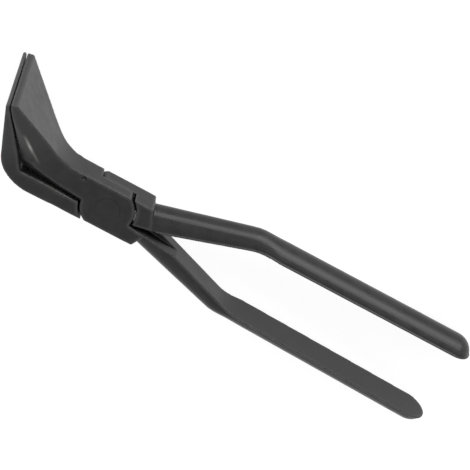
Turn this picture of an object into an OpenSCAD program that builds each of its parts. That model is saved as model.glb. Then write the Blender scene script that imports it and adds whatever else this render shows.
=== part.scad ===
// Bending pliers for folding sheet metal, with a wide mouth set at 45 degrees.
// Two forged arms cross in a lap joint and turn on one rivet.
// +X runs along the handles, +Y is the way the mouth points, +Z is the rivet's axis.
// The origin is on that axis, at the joint's lower face.

/* [Joint] */
// Thickness of the joint, over both plates
joint_t = 15.7; // [13.5:0.1:19]
// Height of the joint, across the plates
joint_h = 24.7; // [23.5:0.1:26.5]
// Radius of the round plates that turn on each other
plate_r = 14.4; // [13.8:0.1:15.2]
// Gap between a plate's rim and the shoulder round it
shoulder_gap = 1.1; // [0.6:0.1:1.7]
// Running gap between the two plates
lap_gap = 0.1; // [0.05:0.05:0.3]
// Where the thick blocks behind the joint end, at their outer edge
boss_x = 20.9; // [19.5:0.1:22.5]
// Lean of the blocks' end faces
boss_lean = 24; // [15:1:30]

/* [Rivet] */
// Diameter of the rivet's shank
rivet_d = 10; // [8:0.5:11]
// Diameter of its two sunk heads
rivet_head_d = 13.4; // [12:0.1:16]
// Depth of the sunk heads
rivet_head_t = 2.5; // [1.5:0.5:4]
// Running clearance all round the rivet in the arm that turns on it
rivet_clear = 0.05; // [0.02:0.01:0.1]

/* [Mouth] */
// Width of the mouth
mouth_w = 60; // [45:1:80]
// How far the mouth lies ahead of the pivot
mouth_x = 73.1; // [69:0.1:80]
// How far the mouth lies above the pivot
mouth_y = 39.5; // [36.5:0.1:43]
// Tilt of the end faces of the lips
mouth_tilt = 20; // [14:1:26]
// Slit between the closed lips
mouth_gap = 0.3; // [0.1:0.1:0.6]
// Length of the flat lands that grip the sheet
land_l = 1.9; // [1:0.1:4]
// Thickness of the inner jaw's lip
inner_lip_t = 3.7; // [3:0.1:5]
// Thickness of the outer jaw's lip
outer_lip_t = 2.3; // [2:0.1:3.5]
// Rounding of the lips' outer edges
lip_r = 1; // [0.4:0.1:1.1]
// Rounding of the lips' gripping edges
grip_edge_r = 0.3; // [0.1:0.1:0.5]

/* [Jaws] */
// Slope of the inner jaw's back
inner_back = 36.8; // [34:0.2:40]
// Slope of the outer jaw's back
outer_back = 70.7; // [68:0.1:74]
// Radius of the bend in the inner jaw's back
inner_back_r = 33; // [20:1:43]
// Radius of the outer jaw's elbow
elbow_r = 24.7; // [15:0.1:30]
// Depth of the elbow below the pivot
elbow_h = 13.6; // [12.5:0.1:15]
// How far ahead of the pivot the inner jaw's throat lies
inner_throat_x = 42.3; // [40:0.1:45]
// How far ahead of the pivot the outer jaw's throat lies
outer_throat_x = 49.4; // [47.5:0.1:53]
// Radius of the outer jaw's throat
outer_throat_r = 2.4; // [1:0.1:4.5]
// Slit between the jaws along the throat and the seam
throat_gap = 0.8; // [0.5:0.1:1.5]
// How far below the pivot the edge of the inner jaw's flanks starts
seam_y = 2.2; // [1.5:0.1:2.8]
// How far below that edge the outer jaw starts
seam_gap = 2.9; // [2.4:0.1:3.4]
// Slope of the edge of the inner jaw's flanks
inner_seam = 7.3; // [6.5:0.1:8]
// Slope of the outer jaw's side of the seam
outer_seam = 2.6; // [1.8:0.1:3.2]
// How far the inner jaw's ridge along the seam lies inside its flanks
ridge_in = 5; // [3:0.1:6]
// Direction in which the jaws widen, from the line of the handles
flare_axis = 45; // [42:1:48]
// Slope of the jaws' spreading sides
flare_angle = 25.5; // [21:0.5:29]
// Radius of the sweep from the joint into the spreading sides
flare_r = 81; // [60:1:95]
// Diameter of the punch mark on the inner jaw
mark_d = 2; // [1:0.5:3]

/* [Handles] */
// Where the line of the handles' inner faces leaves the middle
crotch_x = 26.6; // [25:0.1:28.5]
// Slope of the handles behind the joint
root_angle = 20; // [16:1:24]
// Where the handles bend into the grips
bend_x = 82.2; // [76:0.1:90]
// Radius of that bend on the inner face
bend_r = 38; // [30:1:55]
// Thickness of the handles behind the joint
root_t = 12.6; // [11:0.1:13]
// Thickness of the handles where that bend starts
bend_t = 9.8; // [8.5:0.1:11]
// How far the handles' sides lie inside the joint's faces
neck_step = 0.2; // [0.1:0.1:0.8]
// Where the grips end
grip_end = 210; // [170:1:250]
// Width of the grips
grip_w = 20; // [17.5:0.1:24]
// Thickness of the grips
grip_t = 7.7; // [6:0.1:9]
// Height of the grips' sides below their rounded backs
side_t = 1.3; // [1.2:0.1:2]
// Thickness of the rim along the inner face
rim_t = 1; // [0.6:0.1:1.1]
// How far the rim stands out
rim_w = 0.6; // [0.3:0.1:1]
// How far past the bend the grips reach their full width
widen_l = 5.7; // [2:0.1:14]
// How far the handle of the outer jaw spreads
outer_splay = 0; // [0:0.5:3]
// How far the handle of the inner jaw spreads
inner_splay = 2; // [0:0.5:3]
// Height over the pivot at which an arm is cut back on its own plate's side
near_cut_y = 1.1; // [0.6:0.1:1.9]
// Slope of that cut
near_cut = 7; // [5:0.5:9]
// Depth below the pivot at which it is cut on the other plate's side
far_cut_y = 4.5; // [3.8:0.1:4.8]
// Slope of that cut
far_cut = 11.3; // [10:0.1:13]

/* [Hidden] */
steel = [0.2, 0.2, 0.21];
rivet_steel = [0.25, 0.25, 0.26];
// how far a curve may stand off its chords
arc_error = 0.02;
// steps round a handle's back, rings along its root and bend, and rings round its tip
back_n = 16;
ring_n = 28;
tip_n = 8;
// the tip's rings stop this far round, just short of closing
tip_turn = 88;
$fn = 96;

half_t = joint_t / 2;
half_h = joint_h / 2;
shoulder_r = plate_r + shoulder_gap;
// the spreading sides start this far inside the jaws' flat sides, and leave them at an angle
flare_dip = 0.3;
// the slopes to the ridge start this far off the inner jaw's corners
slope_clear = 0.4;
// the root starts this far back, inside the block
root_start = -joint_h / 5;

// unit vectors along a direction and to its left
function along(a) = [cos(a), sin(a)];
function left(a) = [-sin(a), cos(a)];
function unit(v) = v / norm(v);

// A closed outline from corners [x, y, radius], with each corner as an arc.
function arc_steps(r, turn) = max(2, ceil(abs(turn) / (2 * acos(1 - arc_error / r))));
function round_corner(p, c, n) =
    let (
        at = [c[0], c[1]],
        u = unit([p[0], p[1]] - at),
        v = unit([n[0], n[1]] - at),
        half = acos(u * v) / 2,
        hub = at + unit(u + v) * c[2] / sin(half),
        s = at + u * c[2] / tan(half) - hub,
        e = at + v * c[2] / tan(half) - hub,
        a0 = atan2(s[1], s[0]),
        turn = (atan2(e[1], e[0]) - a0 + 540) % 360 - 180,
        steps = arc_steps(c[2], turn)
    )
    [for (i = [0:steps]) hub + c[2] * along(a0 + turn * i / steps)];
function rounded(c) =
    let (last = len(c) - 1)
    [for (i = [0:last])
        each c[i][2] == 0
            ? [[c[i][0], c[i][1]]]
            : round_corner(c[i == 0 ? last : i - 1], c[i], c[i == last ? 0 : i + 1])];
function corner(p, r) = [p[0], p[1], r];

// The jaws. The lips' end faces lie along lip_way, and the slit runs in along slit_way.
mouth = [-mouth_x, mouth_y];
lip_way = along(mouth_tilt);
slit_way = -left(mouth_tilt);
inner_tip = mouth + lip_way * inner_lip_t;
outer_tip = mouth - lip_way * outer_lip_t;
inner_edge = mouth + lip_way * mouth_gap / 2;
outer_edge = mouth - lip_way * mouth_gap / 2;
inner_land = inner_edge + slit_way * land_l;
outer_land = outer_edge + slit_way * land_l;
inner_throat = [-inner_throat_x, inner_throat_x * tan(inner_seam) - seam_y];
outer_throat = [-outer_throat_x, outer_throat_x * tan(outer_seam) - seam_y - seam_gap];
// the inner jaw's ridge keeps throat_gap from both sides of the outer jaw's throat
throat_way = unit(outer_land - outer_throat);
seam_way = along(-outer_seam);
ridge = outer_throat + (throat_way + seam_way) * throat_gap / abs(cross(throat_way, seam_way));
ridge_y = throat_gap / cos(outer_seam) - seam_y - seam_gap;
inner_bend = [inner_tip[0] + (inner_tip[1] - half_h) / tan(inner_back), half_h];
elbow = [outer_tip[0] + (outer_tip[1] + elbow_h) / tan(outer_back), -elbow_h];

inner_outline = rounded([
    [0, half_h, 0],
    corner(inner_bend, inner_back_r),
    corner(inner_tip, lip_r),
    corner(inner_edge, grip_edge_r),
    corner(inner_land, 0),
    corner(ridge, outer_throat_r),
    [0, ridge_y, 0]
]);
outer_outline = rounded([
    [0, -half_h, 0],
    corner(elbow, elbow_r),
    corner(outer_tip, lip_r),
    corner(outer_edge, grip_edge_r),
    corner(outer_land, 0),
    corner(outer_throat, outer_throat_r),
    [0, -seam_y - seam_gap, 0]
]);

// Both jaws spread alike, to the mouth's width at the slit.
flare_way = [-cos(flare_axis), sin(flare_axis)];
flare_mouth = mouth * flare_way;
flare_start = flare_mouth - (mouth_w / 2 - half_t) / tan(flare_angle);
flare_end = flare_mouth + inner_lip_t + outer_lip_t;
flare_end_w = half_t + (flare_end - flare_start) * tan(flare_angle);
flare_outline = rounded([
    [-shoulder_r, flare_dip - half_t, 0],
    [flare_start, -half_t, flare_r],
    [flare_end, -flare_end_w, 0],
    [flare_end, flare_end_w, 0],
    [flare_start, half_t, flare_r],
    [-shoulder_r, half_t - flare_dip, 0]
]);

module flare() {
    rotate([90, 0, 180 - flare_axis])
        linear_extrude(4 * mouth_x, center = true)
            polygon(flare_outline);
}

// How far the flank stands out from the middle at a point of the outline
sweep_from = flare_start - flare_r * tan(flare_angle / 2);
sweep_to = sweep_from + flare_r * sin(flare_angle);
function flank_at(p) =
    let (s = p * flare_way)
    s < sweep_from
        ? half_t
        : s < sweep_to
            ? half_t + flare_r - sqrt(flare_r * flare_r - pow(s - sweep_from, 2))
            : half_t + (s - flare_start) * tan(flare_angle);
function raised(p, z) = [p[0], p[1], z];

// Everything beyond the plane through three points, which turn left as seen from there
module beyond(a, b, c) {
    n = unit(cross(b - a, c - a));
    size = 4 * mouth_x;
    translate(a)
        rotate([0, acos(n[2]), atan2(n[1], n[0])])
            translate([-size / 2, -size / 2, 0])
                cube(size);
}

// On the inner jaw, both flanks slope down to the ridge, along the throat and along the seam.
// The slopes start clear of the lip and of the joint's face.
module inner_jaw() {
    flank_mouth = raised(inner_land, flank_at(inner_land) + slope_clear);
    flank_throat = raised(inner_throat, flank_at(inner_throat));
    flank_joint = [0, -seam_y, half_t + slope_clear];
    ridge_throat = raised(ridge, flank_at(inner_throat) - ridge_in);
    difference() {
        jaw(inner_outline);
        beyond(flank_mouth, ridge_throat, flank_throat);
        beyond(flank_joint, flank_throat, ridge_throat);
        mirror([0, 0, 1]) beyond(flank_mouth, ridge_throat, flank_throat);
        mirror([0, 0, 1]) beyond(flank_joint, flank_throat, ridge_throat);
    }
}

// Room for the other arm's plate, above the lap
module shoulder_room() {
    translate([0, 0, -lap_gap / 2])
        cylinder(h = joint_t, r = shoulder_r);
}

module jaw(outline) {
    linear_extrude(joint_t, center = true) polygon(outline);
    intersection() {
        linear_extrude(2 * flare_end_w, center = true) polygon(outline);
        flare();
    }
}

// An arm's round plate, below the lap
module plate() {
    intersection() {
        translate([0, 0, -half_t]) cylinder(h = half_t - lap_gap / 2, r = plate_r);
        cube([2 * plate_r + 1, joint_h, 2 * joint_t], center = true);
    }
}

// The handles. d runs along the inner face, from where it leaves the middle.
bend_l = (bend_x - crotch_x) / cos(root_angle);
function root_l(splay) = bend_l - bend_r * tan((root_angle - splay) / 2);
function arc_l(splay) = bend_r * (root_angle - splay) * PI / 180;
function neck_l(splay) = root_l(splay) + arc_l(splay) + widen_l;
function root_at(d) = [crotch_x, 0] + d * along(root_angle);
function angle_at(d, splay) =
    min(root_angle, max(splay, root_angle - (d - root_l(splay)) / bend_r * 180 / PI));
function face_at(d, splay) =
    let (
        r = root_l(splay),
        hub = root_at(r) - bend_r * left(root_angle),
        past = max(0, d - r - arc_l(splay))
    )
    d < r ? root_at(d) : hub + bend_r * left(angle_at(d, splay)) + past * along(splay);

// Half the width, and the thickness, at d
function smooth(u) = let (v = min(1, max(0, u))) v * v * (3 - 2 * v);
function half_w_at(d, splay) =
    let (
        r = root_l(splay),
        neck = half_t - neck_step
    )
    neck + (grip_w / 2 - neck) * smooth((d - r) / (neck_l(splay) - r));
function thick_at(d, splay) =
    let (r = root_l(splay))
    d < r
        ? bend_t + (root_t - bend_t) * (1 - d / r)
        : bend_t + (grip_t - bend_t) * smooth((d - r) / arc_l(splay));

// The outline across a handle, as points [across, out from the inner face, ahead].
// It has a flat inner face, a thin rim and a round back. Round the tip, e is the turn.
function back_arc(w, t, e) =
    let (
        b = w - rim_w,
        dome = min(t - side_t, b),
        r = (b * b + dome * dome) / (2 * dome),
        r_here = sqrt(r * r - pow(b * sin(e), 2)),
        a0 = asin((r - dome) / r_here)
    )
    [for (i = [0:back_n])
        let (a = a0 + (180 - 2 * a0) * i / back_n)
        [r_here * cos(a), t - r + r_here * sin(a), b * sin(e)]];
function outline(w, t, e) =
    let (
        b = w - rim_w,
        x = w * cos(e),
        ahead = w * sin(e),
        step = [b * cos(e), rim_t, b * sin(e)]
    )
    concat(
        [[-x, rim_t, ahead], [-x, 0, ahead], [x, 0, ahead], [x, rim_t, ahead], step],
        back_arc(w, t, e),
        [[-step[0], step[1], step[2]]]
    );

// One ring of points round a handle at d
function ring(d, splay, e = 0) =
    let (
        at = face_at(d, splay),
        a = angle_at(d, splay)
    )
    [for (p = outline(half_w_at(d, splay), thick_at(d, splay), e))
        let (q = at + left(a) * p[1] + along(a) * p[2])
        [q[0], q[1], p[0]]];

// A handle, as a skin over rings from inside the block to the tip, closed by a fan at each end
module handle(splay) {
    step = (neck_l(splay) - root_start) / ring_n;
    neck_x = face_at(neck_l(splay), splay)[0];
    tip_d = neck_l(splay) + (grip_end - grip_w / 2 - neck_x) / cos(splay);
    rings = concat(
        [for (i = [0:ring_n]) ring(root_start + i * step, splay)],
        [for (i = [0:tip_n]) ring(tip_d, splay, tip_turn * i / tip_n)]
    );
    last = len(rings) - 1;
    m = len(rings[0]);
    hubs = [for (r = [rings[0], rings[last]]) (r[0] + r[1] + r[2] + r[3]) / 4];
    near_hub = (last + 1) * m;
    far_hub = near_hub + 1;
    sides = [for (i = [0:last - 1], j = [0:m - 1])
        let (
            a = i * m + j,
            b = i * m + (j + 1) % m
        )
        each [[a, b, b + m], [a, b + m, a + m]]];
    ends = [for (j = [0:m - 1])
        let (k = (j + 1) % m)
        each [[near_hub, k, j], [far_hub, last * m + j, last * m + k]]];
    polyhedron(concat([for (r = rings) each r], hubs), concat(sides, ends), convexity = 6);
}

// The thick block that joins the plate to the handle
module boss() {
    linear_extrude(joint_t, center = true)
        polygon([
            [0, half_h],
            [boss_x, half_h],
            [boss_x + (half_h + far_cut_y) * tan(boss_lean), -far_cut_y],
            [0, -far_cut_y]
        ]);
}

// Everything below a line through [0, y], which the handle's inner face crosses
module cut_below(y, slope) {
    linear_extrude(joint_t)
        polygon([
            [-joint_h, y - joint_h * tan(slope)],
            [bend_x, y + bend_x * tan(slope)],
            [bend_x, -2 * joint_h],
            [-joint_h, -2 * joint_h]
        ]);
}

// The back of an arm that has its plate below the lap and its handle above
module arm_back(splay) {
    plate();
    difference() {
        union() {
            boss();
            handle(splay);
        }
        translate([0, 0, lap_gap / 2 - joint_t]) cut_below(near_cut_y, near_cut);
        translate([0, 0, -lap_gap / 2]) cut_below(-far_cut_y, far_cut);
        shoulder_room();
    }
}

// The rivet's outline, grown all round by clear
module rivet_shape(clear) {
    head = rivet_head_d / 2 + clear;
    shank = rivet_d / 2 + clear;
    rotate_extrude()
        polygon([
            [0, -half_t],
            [head, -half_t],
            [shank, rivet_head_t - half_t],
            [shank, half_t - rivet_head_t],
            [head, half_t],
            [0, half_t]
        ]);
}

// A shallow round mark on the inner jaw's flat, ahead of the joint
module punch_mark() {
    at = [-1.3 * plate_r, half_h - 1.25 * mark_d];
    translate([at[0], at[1], half_t + 3 / 8 * mark_d]) sphere(d = 5 / 4 * mark_d);
}

module outer_jaw_arm() {
    color(steel) translate([0, 0, half_t])
        difference() {
            union() {
                difference() {
                    jaw(outer_outline);
                    shoulder_room();
                }
                arm_back(outer_splay);
            }
            rivet_shape(rivet_clear);
        }
}

module inner_jaw_arm() {
    color(steel) translate([0, 0, half_t])
        difference() {
            union() {
                difference() {
                    inner_jaw();
                    rotate([180, 0, 0]) shoulder_room();
                }
                rotate([180, 0, 0]) arm_back(inner_splay);
            }
            rivet_shape(0);
            punch_mark();
        }
}

module pivot_rivet() {
    color(rivet_steel) translate([0, 0, half_t]) rivet_shape(0);
}

outer_jaw_arm();
inner_jaw_arm();
pivot_rivet();
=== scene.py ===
"""Looks of the bending pliers: two blackened forged arms and their rivet on a white floor."""

import math

import bmesh
import bpy
import numpy as np
from mathutils import Matrix, Vector, noise


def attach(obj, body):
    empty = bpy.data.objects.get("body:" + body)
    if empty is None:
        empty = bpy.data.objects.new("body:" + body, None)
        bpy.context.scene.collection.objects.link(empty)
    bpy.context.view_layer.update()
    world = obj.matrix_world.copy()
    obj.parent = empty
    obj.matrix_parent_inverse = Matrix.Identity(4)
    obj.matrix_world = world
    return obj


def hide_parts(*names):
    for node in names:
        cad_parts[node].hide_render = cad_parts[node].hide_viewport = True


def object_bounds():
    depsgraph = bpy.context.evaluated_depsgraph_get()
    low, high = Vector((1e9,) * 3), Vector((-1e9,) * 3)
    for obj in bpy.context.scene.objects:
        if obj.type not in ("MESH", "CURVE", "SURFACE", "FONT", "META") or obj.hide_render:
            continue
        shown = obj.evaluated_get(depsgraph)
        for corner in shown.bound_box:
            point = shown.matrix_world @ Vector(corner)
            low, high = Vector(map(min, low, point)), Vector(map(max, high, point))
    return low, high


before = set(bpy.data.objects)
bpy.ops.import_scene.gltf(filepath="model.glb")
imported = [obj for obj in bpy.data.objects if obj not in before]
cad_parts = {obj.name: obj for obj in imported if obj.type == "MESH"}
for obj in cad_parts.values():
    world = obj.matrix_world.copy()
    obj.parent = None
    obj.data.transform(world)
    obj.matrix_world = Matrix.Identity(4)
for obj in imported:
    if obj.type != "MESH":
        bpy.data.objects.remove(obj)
cad_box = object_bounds()

MM = 0.001

# A camera fitted to the photograph, in the part's frame; its focal length is chosen, not measured
CAMERA_AT = Vector((-0.1778, 0.5640, 0.9943))
CAMERA_AIM = Vector((0.0647, 0.0206, 0.0125))
CAMERA_UP = Vector((-0.458, 0.725, -0.5143))
CAMERA_LENS = 168.6

# The skin of the forgings: distance for welding, grid of the new mesh, rounds and share of
# smoothing, and depth and size of the unevenness
WELD = 0.001 * MM
SKIN_GRID = 0.48 * MM
SOFTEN_ROUNDS = 3
SOFTEN_SHARE = 0.5
UNEVEN_DEPTH = 0.06 * MM
UNEVEN_SIZE = 9 * MM

# The joint, where the arms stay crisp and even: radii round the rivet, and the blend past them
CRISP_R = 7.4 * MM
CALM_R = 19 * MM
CALM_BLEND = 8 * MM
CALM_SHARE = 0.15

# The handles, whose thin rims keep most of their edge
HANDLE_X = 26 * MM
RIM_SHARE = 0.15

# Edges that the forging left rounder: lines across the rivet's axis, reach round them, and rounds
BLADE_EDGE = ((-0.0722, 0.0366), (-0.0494, -0.0029))
SEAM_EDGE = ((-0.0494, -0.0029), (-0.0240, -0.0042))
NECK_EDGE = ((-0.0470, 0.0170), (-0.0270, 0.0123))
ROUND_REACH = 3.2 * MM
ROUND_ROUNDS = 14

# The middle of the arms' thickness
MIDDLE_Z = 7.85 * MM

# The edge that stays sharp, along the inner jaw's side of the throat
SHARP_EDGE = ((-0.0722, 0.0366), (-0.0486, -0.0022))
SHARP_REACH = 2.5 * MM

# The punch mark on the inner jaw: its place, its face, its radius and its depth
PUNCH_AT = (-0.01872, 0.00985)
PUNCH_FACE = 15.7 * MM
PUNCH_R = 1.6 * MM
PUNCH_DEPTH = 1.2 * MM

# The painted highlight: a pale stripe painted where the slope along the throat meets the flank, in
# place of the light that this crease catches: points, shine at each, and half width
STREAK = (
    (-0.0590, 0.0232), (-0.0550, 0.0188), (-0.0520, 0.0153), (-0.0491, 0.0122), (-0.0420, 0.0060),
)
STREAK_SHINE = (0.0, 0.3, 0.6, 0.2, 0.0)
STREAK_W = 0.6 * MM

# The slope along the throat, as a plane through three points over the jaw's middle, which eases
# out from a distance along the jaws' spread and ends before the joint
SLOPE = ((-0.0718, 0.0362, 0.0288), (-0.0491, 0.0124, 0.0130), (-0.0486, -0.0022, 0.0040))
SLOPE_END = 43.4 * MM
SLOPE_EASE = 40
SLOPE_JOINT_X = -30 * MM

# The worn edges: rounds that even out how far a point stands out, and the share of the grid by
# which it stands out where the edge is fully worn
WORN_ROUNDS = 3
WORN_STAND = 0.05

# The white floor touches the jaws' lower corners and the ends of the grips
FLOOR_JAW = Vector((-0.062, 0, -0.0226))
FLOOR_GRIP = Vector((0.200, 0, -0.0023))
FLOOR_SIZE = 4.0

# How much the black finish mirrors
FINISH_IOR = 1.34

# Light: glow of the floor and share of real shading on it, and distance and power of the lamps
FLOOR_GLOW = 1.08
FLOOR_SHADE = 0.25
LAMP_DISTANCE = 1.3
NECK_WATTS = 7
GRIP_WATTS = 15


def mesh_arrays(mesh):
    """A mesh's vertices and edges as arrays."""
    co = np.empty(len(mesh.vertices) * 3, np.float32)
    mesh.vertices.foreach_get("co", co)
    ends = np.empty(len(mesh.edges) * 2, np.int32)
    mesh.edges.foreach_get("vertices", ends)
    return co.reshape(-1, 3).astype(float), ends.reshape(-1, 2)


def neighbour_mean(co, ends):
    """The mean of each vertex's neighbours."""
    at = np.concatenate((ends[:, 0], ends[:, 1]))
    other = np.concatenate((ends[:, 1], ends[:, 0]))
    count = np.maximum(np.bincount(at, minlength=len(co)), 1)
    total = [np.bincount(at, weights=co[other, i], minlength=len(co)) for i in range(co.shape[1])]
    return np.stack(total, axis=1) / count[:, None]


def move_vertices(mesh, co):
    mesh.vertices.foreach_set("co", co.astype(np.float32).ravel())
    mesh.update()


def vertex_normals(mesh):
    normals = np.empty(len(mesh.vertices) * 3, np.float32)
    mesh.vertices.foreach_get("normal", normals)
    return normals.reshape(-1, 3)


def store_value(mesh, name, values):
    """Stores a value for each vertex, for the material."""
    layer = mesh.attributes.new(name, "FLOAT", "POINT")
    layer.data.foreach_set("value", values.astype(np.float32))


def smooth_step(x):
    x = np.clip(x, 0, 1)
    return x * x * (3 - 2 * x)


def object_from(mesh, name):
    piece = bpy.data.objects.new(name, mesh)
    bpy.context.scene.collection.objects.link(piece)
    return piece


def welded_copy(node, name):
    """A closed mesh of a CAD node."""
    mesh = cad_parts[node].data.copy()
    welded = bmesh.new()
    welded.from_mesh(mesh)
    bmesh.ops.remove_doubles(welded, verts=welded.verts, dist=WELD)
    welded.to_mesh(mesh)
    welded.free()
    return object_from(mesh, name)


def even_skin(piece, name):
    """Gives a piece a closed mesh of even faces, drawn onto its own surface."""
    core = object_from(piece.data.copy(), name + "_core")
    skin = piece.modifiers.new("skin", "REMESH")
    skin.mode = "VOXEL"
    skin.voxel_size = SKIN_GRID
    snug = piece.modifiers.new("snug", "SHRINKWRAP")
    snug.target = core
    snug.wrap_method = "NEAREST_SURFACEPOINT"
    graph = bpy.context.evaluated_depsgraph_get()
    piece.data = bpy.data.meshes.new_from_object(piece.evaluated_get(graph))
    piece.modifiers.clear()
    piece.data.name = name
    bpy.data.objects.remove(core)


def cut_slope(piece):
    """Lowers the flanks to the plane of the slope along the throat."""
    mesh = piece.data
    co, _ = mesh_arrays(mesh)
    a, b, c = (np.array(p) for p in SLOPE)
    normal = np.cross(b - a, c - a)
    spread = (co[:, 1] - co[:, 0]) * math.sqrt(0.5)
    plane = a[2] - ((co[:, :2] - a[:2]) @ normal[:2]) / normal[2]
    limit = plane + SLOPE_EASE * np.maximum(SLOPE_END - spread, 0) ** 2
    height = co[:, 2] - MIDDLE_Z
    inside = (co[:, 0] < SLOPE_JOINT_X) & (abs(height) > limit) & (limit > 0)
    co[inside, 2] = MIDDLE_Z + np.sign(height[inside]) * limit[inside]
    move_vertices(mesh, co)


def along_line(co, line):
    """The share of a line at which each vertex lies, and its distance, across the rivet's axis."""
    start, end = np.array(line[0]), np.array(line[1])
    way = end - start
    along = np.clip((co[:, :2] - start) @ way / (way @ way), 0, 1)
    return along, np.linalg.norm(co[:, :2] - start - along[:, None] * way, axis=1)


def from_line(co, line):
    """How far each vertex lies from a line across the rivet's axis, at any height."""
    return along_line(co, line)[1]


def relax(co, ends, share, rounds):
    """Rounds of smoothing, by each vertex's share."""
    inside = share > 0
    near = ends[inside[ends[:, 0]] | inside[ends[:, 1]]]
    used, near = np.unique(near, return_inverse=True)
    near = near.reshape(-1, 2)
    part = co[used]
    weight = (SOFTEN_SHARE * share[used])[:, None]
    for _ in range(rounds):
        part += weight * (neighbour_mean(part, near) - part)
    co[used] = part


def soften(piece, round_edges, sharp_edges):
    """Rounds the edges as forging does, and keeps the joint and the rivet's seat crisp."""
    mesh = piece.data
    co, ends = mesh_arrays(mesh)
    from_axis = np.hypot(co[:, 0], co[:, 1])
    away = smooth_step((from_axis - CALM_R) / CALM_BLEND)
    for line in sharp_edges:
        away *= smooth_step(from_line(co, line) / SHARP_REACH)
    share = CALM_SHARE + (1 - CALM_SHARE) * away
    share[co[:, 0] > HANDLE_X] = RIM_SHARE
    relax(co, ends, share * smooth_step((from_axis - CRISP_R) / MM), SOFTEN_ROUNDS)
    for line in round_edges:
        relax(co, ends, smooth_step(1 - from_line(co, line) / ROUND_REACH), ROUND_ROUNDS)
    move_vertices(mesh, co)


def punch(piece):
    """Presses the punch mark into the inner jaw's flat face."""
    mesh = piece.data
    co, _ = mesh_arrays(mesh)
    out = np.hypot(co[:, 0] - PUNCH_AT[0], co[:, 1] - PUNCH_AT[1]) / PUNCH_R
    depth = PUNCH_DEPTH * np.clip(1 - out ** 2, 0, 1)
    struck = (out < 1) & (co[:, 2] > PUNCH_FACE - PUNCH_DEPTH)
    co[struck, 2] = np.minimum(co[struck, 2], PUNCH_FACE - depth[struck])
    move_vertices(mesh, co)


def paint_highlight_streak(piece):
    """Stores the share of the painted highlight streak on the near side of the inner jaw."""
    mesh = piece.data
    co, _ = mesh_arrays(mesh)
    shine = np.zeros(len(co))
    for i in range(len(STREAK) - 1):
        along, away = along_line(co, STREAK[i:i + 2])
        here = STREAK_SHINE[i] + (STREAK_SHINE[i + 1] - STREAK_SHINE[i]) * along
        shine = np.maximum(shine, here * smooth_step(1 - away / (2 * STREAK_W)))
    shine[co[:, 2] < MIDDLE_Z] = 0
    store_value(mesh, "streak", shine)


def uneven(piece):
    """Sinks the skin a little here and there, away from the joint."""
    mesh = piece.data
    co, _ = mesh_arrays(mesh)
    normals = vertex_normals(mesh)
    from_axis = np.hypot(co[:, 0], co[:, 1])
    share = smooth_step((from_axis - CALM_R) / CALM_BLEND)
    for i in np.nonzero(share > 0)[0]:
        waves = 0.5 + 0.5 * noise.noise(Vector(co[i]) / UNEVEN_SIZE)
        co[i] -= normals[i] * share[i] * waves * UNEVEN_DEPTH
    move_vertices(mesh, co)


def mark_edges(piece):
    """Stores how far each point stands out from its surroundings, for the worn edges."""
    mesh = piece.data
    co, ends = mesh_arrays(mesh)
    stand = np.einsum("ij,ij->i", co - neighbour_mean(co, ends), vertex_normals(mesh)) / SKIN_GRID
    stand = stand[:, None]
    for _ in range(WORN_ROUNDS):
        stand = neighbour_mean(stand, ends)
    from_axis = np.hypot(co[:, 0], co[:, 1])
    worn = np.clip(stand[:, 0] / WORN_STAND, 0, 1) * smooth_step((from_axis - CRISP_R) / MM - 1)
    store_value(mesh, "edge", worn)


def node_tree(name):
    """A new material with its tree and its shader."""
    material = bpy.data.materials.new(name)
    material.use_nodes = True
    tree = material.node_tree
    return material, tree, tree.nodes["Principled BSDF"]


def add_noise(tree, coords, size, detail, rough=0.5):
    """Noise whose largest grains are about size metres across."""
    grains = tree.nodes.new("ShaderNodeTexNoise")
    grains.inputs["Scale"].default_value = 1 / size
    grains.inputs["Detail"].default_value = detail
    grains.inputs["Roughness"].default_value = rough
    tree.links.new(coords, grains.inputs["Vector"])
    return grains.outputs["Fac"]


def add_range(tree, value, low, high, to_low, to_high):
    """Maps low..high of a value to to_low..to_high, clamped."""
    spread = tree.nodes.new("ShaderNodeMapRange")
    spread.inputs["From Min"].default_value = low
    spread.inputs["From Max"].default_value = high
    spread.inputs["To Min"].default_value = to_low
    spread.inputs["To Max"].default_value = to_high
    tree.links.new(value, spread.inputs["Value"])
    return spread.outputs["Result"]


def add_mix(tree, share, a, b):
    """Mixes two colours, each a socket or a tuple."""
    mix = tree.nodes.new("ShaderNodeMix")
    mix.data_type = "RGBA"
    tree.links.new(share, mix.inputs["Factor"])
    for socket, value in ((mix.inputs[6], a), (mix.inputs[7], b)):
        if isinstance(value, tuple):
            socket.default_value = value
        else:
            tree.links.new(value, socket)
    return mix.outputs[2]


def add_attribute(tree, name):
    """A value that is stored for each vertex."""
    stored = tree.nodes.new("ShaderNodeAttribute")
    stored.attribute_name = name
    return stored.outputs["Fac"]


def add_bump(tree, height, depth):
    bump = tree.nodes.new("ShaderNodeBump")
    bump.inputs["Distance"].default_value = depth
    tree.links.new(height, bump.inputs["Height"])
    return bump.outputs["Normal"]


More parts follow.
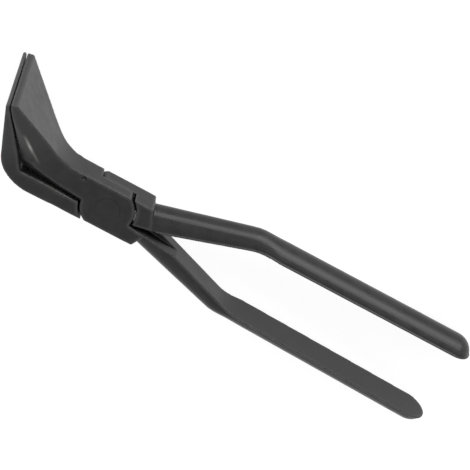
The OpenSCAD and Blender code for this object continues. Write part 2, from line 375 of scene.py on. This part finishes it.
def blackened_steel():
    """Forged steel under a satin black finish, mottled, with slightly paler edges and a painted
    highlight streak along the inner jaw's throat.
    """
    material, tree, shader = node_tree("blackened_steel")
    coords = tree.nodes.new("ShaderNodeTexCoord").outputs["Object"]
    mottle = add_noise(tree, coords, 7 * MM, 6, 0.6)
    grain = add_noise(tree, coords, 0.9 * MM, 3, 0.6)

    dark = (0.005, 0.005, 0.0049, 1)
    light = (0.011, 0.011, 0.0108, 1)
    worn = (0.05, 0.05, 0.049, 1)
    # painted highlight: a pale colour laid along the inner jaw's throat crease to stand in for the
    # light it reflects
    painted_highlight = (0.42, 0.41, 0.40, 1)
    body = add_mix(tree, add_range(tree, mottle, 0.35, 0.65, 0, 1), dark, light)
    grained = add_mix(tree, add_range(tree, grain, 0.3, 0.7, 0, 0.35), body, light)
    wear = tree.nodes.new("ShaderNodeMath")
    wear.operation = "MULTIPLY"
    tree.links.new(add_attribute(tree, "edge"), wear.inputs[0])
    tree.links.new(add_range(tree, grain, 0.3, 0.7, 0.1, 0.6), wear.inputs[1])
    edged = add_mix(tree, wear.outputs[0], grained, worn)
    # mixes in the painted highlight streak
    colour = add_mix(tree, add_attribute(tree, "streak"), edged, painted_highlight)
    tree.links.new(colour, shader.inputs["Base Color"])
    shader.inputs["IOR"].default_value = FINISH_IOR
    tree.links.new(add_range(tree, mottle, 0.3, 0.7, 0.26, 0.4), shader.inputs["Roughness"])
    tree.links.new(add_bump(tree, grain, 0.03 * MM), shader.inputs["Normal"])
    return material


def forged_arm(node, body, steel, round_edges, sharp_edges, sloped):
    """One arm's skin, which takes the place of its CAD node."""
    name = "forged_" + node
    piece = welded_copy(node, name)
    even_skin(piece, name)
    if sloped:
        cut_slope(piece)
        even_skin(piece, name)
    soften(piece, round_edges, sharp_edges)
    uneven(piece)
    mark_edges(piece)
    if sloped:
        punch(piece)
        paint_highlight_streak(piece)
    piece.data.shade_smooth()
    piece.data.materials.clear()
    piece.data.materials.append(steel)
    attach(piece, body)
    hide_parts(node)


def only_seen(tree, seen, lit):
    """Shows one shader to the camera and in reflections, and the other to all other rays."""
    path = tree.nodes.new("ShaderNodeLightPath")
    share = path.outputs["Is Camera Ray"]
    for name in ("Is Glossy Ray", "Is Transmission Ray"):
        either = tree.nodes.new("ShaderNodeMath")
        either.operation = "MAXIMUM"
        tree.links.new(share, either.inputs[0])
        tree.links.new(path.outputs[name], either.inputs[1])
        share = either.outputs[0]
    mix = tree.nodes.new("ShaderNodeMixShader")
    tree.links.new(share, mix.inputs[0])
    tree.links.new(lit, mix.inputs[1])
    tree.links.new(seen, mix.inputs[2])
    return mix.outputs[0]


def white_floor():
    """A pale floor on which the pliers rest, white to the camera but for their soft shadow."""
    along = (FLOOR_GRIP - FLOOR_JAW).normalized()
    across = Vector((0, 1, 0))
    middle = (FLOOR_GRIP + FLOOR_JAW) / 2
    mesh = bpy.data.meshes.new("floor")
    half = FLOOR_SIZE / 2
    signs = ((-1, -1), (1, -1), (1, 1), (-1, 1))
    corners = [middle + along * a * half + across * b * half for a, b in signs]
    mesh.from_pydata(corners, [], [(0, 1, 2, 3)])
    floor = object_from(mesh, "floor")
    material, tree, shader = node_tree("floor")
    shader.inputs["Base Color"].default_value = (0.9, 0.9, 0.9, 1)
    shader.inputs["Roughness"].default_value = 0.9
    glow = tree.nodes.new("ShaderNodeEmission")
    glow.inputs["Color"].default_value = (1, 1, 1, 1)
    glow.inputs["Strength"].default_value = FLOOR_GLOW
    white = tree.nodes.new("ShaderNodeMixShader")
    white.inputs[0].default_value = FLOOR_SHADE
    tree.links.new(glow.outputs[0], white.inputs[1])
    tree.links.new(shader.outputs[0], white.inputs[2])
    out = tree.nodes["Material Output"]
    tree.links.new(only_seen(tree, white.outputs[0], shader.outputs[0]), out.inputs["Surface"])
    mesh.materials.append(material)


def studio_world():
    """Plain white all round."""
    world = bpy.data.worlds.new("studio")
    world.use_nodes = True
    bpy.context.scene.world = world
    fill = world.node_tree.nodes["Background"]
    fill.inputs["Color"].default_value = (1, 1, 1, 1)
    fill.inputs["Strength"].default_value = 1.0


def soft_light(name, direction, size, watts):
    """A square soft light that looks at the middle of the pliers."""
    data = bpy.data.lights.new(name, "AREA")
    data.shape = "SQUARE"
    data.size = size
    data.energy = watts
    lamp = bpy.data.objects.new(name, data)
    bpy.context.scene.collection.objects.link(lamp)
    middle = (cad_box[0] + cad_box[1]) / 2
    lamp.location = middle + Vector(direction).normalized() * LAMP_DISTANCE
    lamp.rotation_mode = "QUATERNION"
    lamp.rotation_quaternion = (middle - lamp.location).to_track_quat("-Z", "Y")


def photo_camera():
    """The camera at the photograph's viewing angle."""
    data = bpy.data.cameras.new("camera")
    data.lens = CAMERA_LENS
    data.clip_start = 0.01
    data.clip_end = 20
    camera = bpy.data.objects.new("camera", data)
    bpy.context.scene.collection.objects.link(camera)
    back = (CAMERA_AT - CAMERA_AIM).normalized()
    right = CAMERA_UP.cross(back).normalized()
    up = back.cross(right)
    turn = Matrix((right, up, back)).transposed().to_4x4()
    camera.matrix_world = Matrix.Translation(CAMERA_AT) @ turn
    bpy.context.scene.camera = camera


photo_camera()
bpy.context.scene.view_settings.view_transform = "Standard"
steel = blackened_steel()
forged_arm(
    "outer_jaw_arm", "outer_arm", steel,
    round_edges=(BLADE_EDGE, SEAM_EDGE), sharp_edges=(), sloped=False,
)
forged_arm(
    "inner_jaw_arm", "inner_arm", steel,
    round_edges=(NECK_EDGE,), sharp_edges=(SHARP_EDGE,), sloped=True,
)
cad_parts["pivot_rivet"].data.materials[0] = steel

white_floor()
studio_world()
soft_light("neck_light", (-0.2, 0.84, 0.5), 0.7, NECK_WATTS)
soft_light("grip_light", (0.3, 0.94, 0.22), 1.0, GRIP_WATTS)
